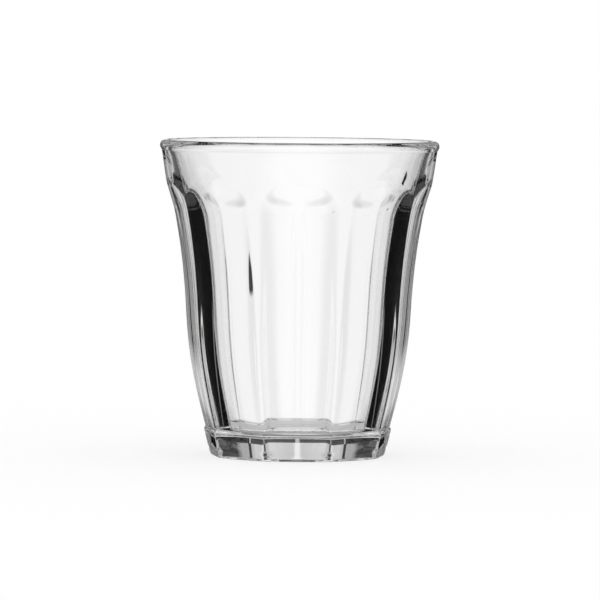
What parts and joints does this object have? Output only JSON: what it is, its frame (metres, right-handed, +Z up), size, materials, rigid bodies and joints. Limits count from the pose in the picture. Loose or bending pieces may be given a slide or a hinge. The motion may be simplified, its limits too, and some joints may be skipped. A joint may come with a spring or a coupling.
{
  "type": "drinking tumbler",
  "caption": "Clear pressed-glass tumbler that tapers to a faceted foot, with flat scooped flutes ending in arches under a plain flared band and a rounded rim bead.",
  "frame": {"origin": "middle of the face the glass stands on", "axes": "+Z up along the axis of the glass, -Y towards the viewer and through the middle of one flute, +X to the viewer's right"},
  "size_m": [0.0796, 0.0796, 0.09],
  "materials": {
    "clear_glass": "smooth, fire-polished, clear"
  },
  "bodies": {
    "root": {"tumbler": "clear_glass"}
  },
  "joints": []
}
